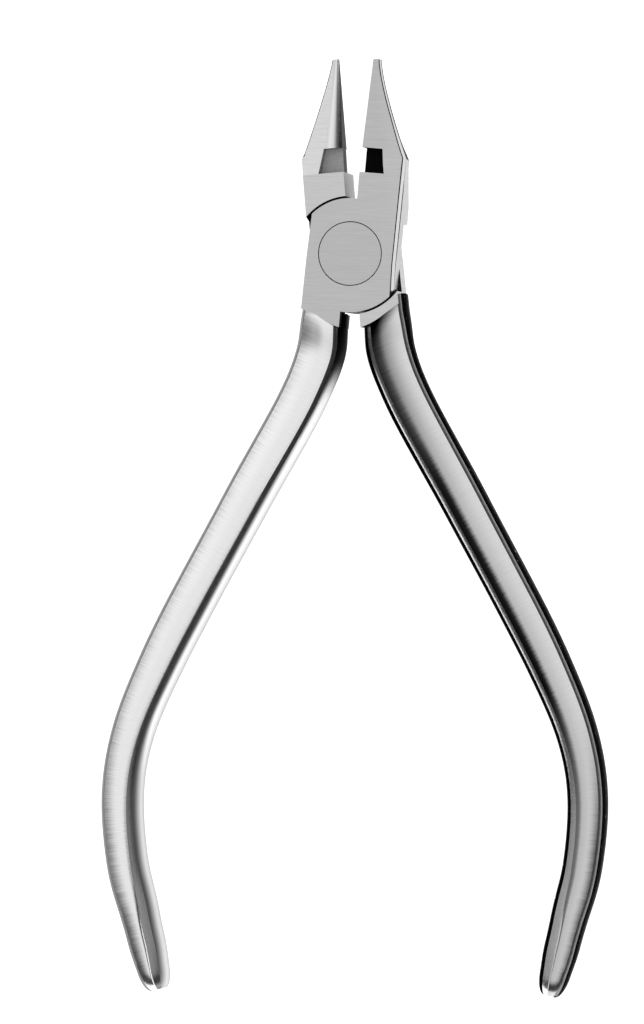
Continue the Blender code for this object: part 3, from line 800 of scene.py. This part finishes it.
def build_pliers():
    """Make the two levers and the screw, and place them as they lie at rest."""
    lift = Matrix.Translation((0, 0, HALF * MM))
    front_place = lift @ Matrix.Rotation(-REST_HALF_OPENING, 4, "Z")
    rear_place = lift @ Matrix.Rotation(REST_HALF_OPENING, 4, "Z") @ Matrix.Rotation(math.pi, 4, "Y")
    flank = plain_steel("outer_side_steel", 0.56, 0.28, 0.1, FINE_SPECKS, 0.7)
    closing = plain_steel("closing_steel", 0.32, 0.3, 0.3, FINE_SPECKS, 0.75)
    # Near-black eased edges: painted dark reflections along the edges.
    edge = plain_steel("painted_dark_edge_steel", 0.02, 0.35, 0.1, FINE_SPECKS, 0.0)
    # Near-black lap faces: painted shade between the levers.
    lap = plain_steel("lap_painted_shade_steel", 0.02, 0.4, 0.1, FINE_SPECKS, 0.0)
    front_joint = ground_steel("front_joint_steel", 0.62, 0.42)
    front_slots = [front_joint, handle_steel("front_handle_steel", 0.88, 0.24, 0.16),
                   side_steel("front_handle_side_steel"),
                   # The flat beak's pocket floor is near black: painted shade in the recess.
                   plain_steel("pocket_painted_shade_steel", 0.012, 0.8, 0.4, MILLED_SPECKS, 0.0),
                   edge, flank, front_joint, flank,
                   # The bevel steels are lit and shaded copies, painted reflections: dark on the front
                   # lever's bevels.
                   plain_steel("front_inner_bevel_steel", 0.3, 0.3, 0.3, FINE_SPECKS, 0.2),
                   plain_steel("front_outer_bevel_steel", 0.30, 0.3, 0.3, FINE_SPECKS, 0.5),
                   flank, lap, closing]
    rear_slots = [ground_steel("rear_joint_steel", 0.70, 0.42),
                  # The rear handle: a lower base than the front's, with painted dark reflections and
                  # painted shade.
                  handle_steel("rear_handle_steel", 0.76, 0.24, 0.16, True),
                  # Near-black rear handle sides: painted dark reflections.
                  plain_steel("rear_handle_side_steel", 0.03, 0.30, 0.3, FINE_SPECKS, 0.0),
                  plain_steel("pocket_steel", 0.5, 0.62, 0.9, MILLED_SPECKS), edge, flank,
                  ground_steel("round_beak_steel", 0.84, 0.38), cone_steel("cone_steel", 0.95, 0.36),
                  # The rear's bevels too are painted reflections: bright inside as a painted highlight,
                  # dark outside.
                  plain_steel("rear_inner_bevel_steel", 0.95, 0.24, 0.1, FINE_SPECKS),
                  plain_steel("rear_outer_bevel_steel", 0.30, 0.3, 0.3, FINE_SPECKS, 0.1),
                  flank, lap, closing]
    front = flat_jaw_lever()
    sort_sides(front)
    dress(front, "front_lever_visual", front_slots, front_place,
          "front_half", "front_lever")
    rear = round_jaw_lever()
    sort_sides(rear)
    dress(rear, "rear_lever_visual", rear_slots, rear_place,
          "rear_half", "rear_lever")
    screw = screw_piece()
    dress(screw, "pivot_screw_visual", [ground_steel("screw_ground_steel", 0.60, 0.42)], lift,
          "rear_half", "pivot_screw")


# ---- stage ----

def direction(azimuth, elevation):
    """A unit vector; azimuth 0 is +X, 90 is +Y, and elevation is above the horizon, in degrees."""
    a, e = math.radians(azimuth), math.radians(elevation)
    return (math.cos(a) * math.cos(e), math.sin(a) * math.cos(e), math.sin(e))


# Lobes of the dome: azimuth, elevation, and the angles where each is full and where it ends, in degrees
KEY_LOBE = (45.0, 80.0, 20.0, 60.0)
FILL_LOBE = (150.0, 35.0, 12.0, 50.0)
BLACK_CARD_LOBE = (216.0, 44.0, 12.0, 30.0)


def studio_world():
    """A soft studio dome: broad overhead light, a fill card, a black card, and a dark horizon."""
    world = bpy.data.worlds.new("studio")
    bpy.context.scene.world = world
    world.use_nodes = True
    tree = world.node_tree
    tree.nodes.clear()
    towards = node(tree, "ShaderNodeTexCoord").outputs["Generated"]

    def lobe(azimuth, elevation, inner, outer):
        """1 near a direction, easing to 0 around it."""
        dot = node(tree, "ShaderNodeVectorMath", {"operation": "DOT_PRODUCT"}, i0=towards,
                   i1=direction(azimuth, elevation)).outputs["Value"]
        return ramp(tree, dot, math.cos(math.radians(outer)), math.cos(math.radians(inner)))

    level = math_node(tree, "MULTIPLY_ADD", lobe(*KEY_LOBE), 0.86, 0.05)
    level = math_node(tree, "MULTIPLY_ADD", lobe(*FILL_LOBE), 0.28, level)
    black = math_node(tree, "MULTIPLY_ADD", lobe(*BLACK_CARD_LOBE), -0.3, 1.0)
    level = math_node(tree, "MULTIPLY", level, black)
    background = node(tree, "ShaderNodeBackground", None, Color=grey(tree, level), Strength=1.0)
    output = tree.nodes.new("ShaderNodeOutputWorld")
    tree.links.new(background.outputs[0], output.inputs["Surface"])


FLOOR_REACH = 4000
FLOOR_BASE = -5.0
FLOOR_TOP = -0.3


def floor():
    """A pale sheet lit from within, paler near the tool, under the face that the tool lies on."""
    reach = FLOOR_REACH
    corners = [(-reach, -reach), (reach, -reach), (reach, reach), (-reach, reach)]
    item = slab("floor", corners, FLOOR_BASE, FLOOR_TOP, 0, 0)
    material = bpy.data.materials.new("pale_floor")
    material.use_nodes = True
    tree = material.node_tree
    shader = tree.nodes["Principled BSDF"]
    shader.inputs["Base Color"].default_value = (0.8, 0.8, 0.8, 1.0)
    shader.inputs["Roughness"].default_value = 0.9
    shader.inputs["Specular IOR Level"].default_value = 0.0
    place = node(tree, "ShaderNodeTexCoord").outputs["Object"]
    distance = node(tree, "ShaderNodeVectorMath", {"operation": "LENGTH"}, i0=place).outputs["Value"]
    glow = ramp(tree, distance, 0.15, 1.6, 0.95, 0.35)
    tree.links.new(grey(tree, glow), shader.inputs["Emission Color"])
    shader.inputs["Emission Strength"].default_value = 1.0
    item.data.materials.append(material)


CAMERA_TILT = math.radians(9.4)
CAMERA_ROLL = math.radians(0.25)
CAMERA_DISTANCE = 0.8
CAMERA_TARGET = Vector((-0.00425306, -0.03280274, 0.004))
CAMERA_LENS = 220.33


def camera():
    """A long lens from above, moved round to the flat beak's side."""
    data = bpy.data.cameras.new("camera")
    data.lens = CAMERA_LENS
    data.sensor_width = 36.0
    item = bpy.data.objects.new("camera", data)
    bpy.context.scene.collection.objects.link(item)
    back = Vector((math.sin(CAMERA_TILT), 0, math.cos(CAMERA_TILT)))
    right = Vector((math.cos(CAMERA_TILT), 0, -math.sin(CAMERA_TILT)))
    placed = Matrix((right, Vector((0, 1, 0)), back)).transposed().to_4x4()
    placed.translation = CAMERA_TARGET + back * CAMERA_DISTANCE
    item.matrix_world = Matrix.Rotation(CAMERA_ROLL, 4, "Z") @ placed
    bpy.context.scene.camera = item


build_pliers()
studio_world()
floor()
camera()
bpy.context.scene.view_settings.view_transform = "Standard"
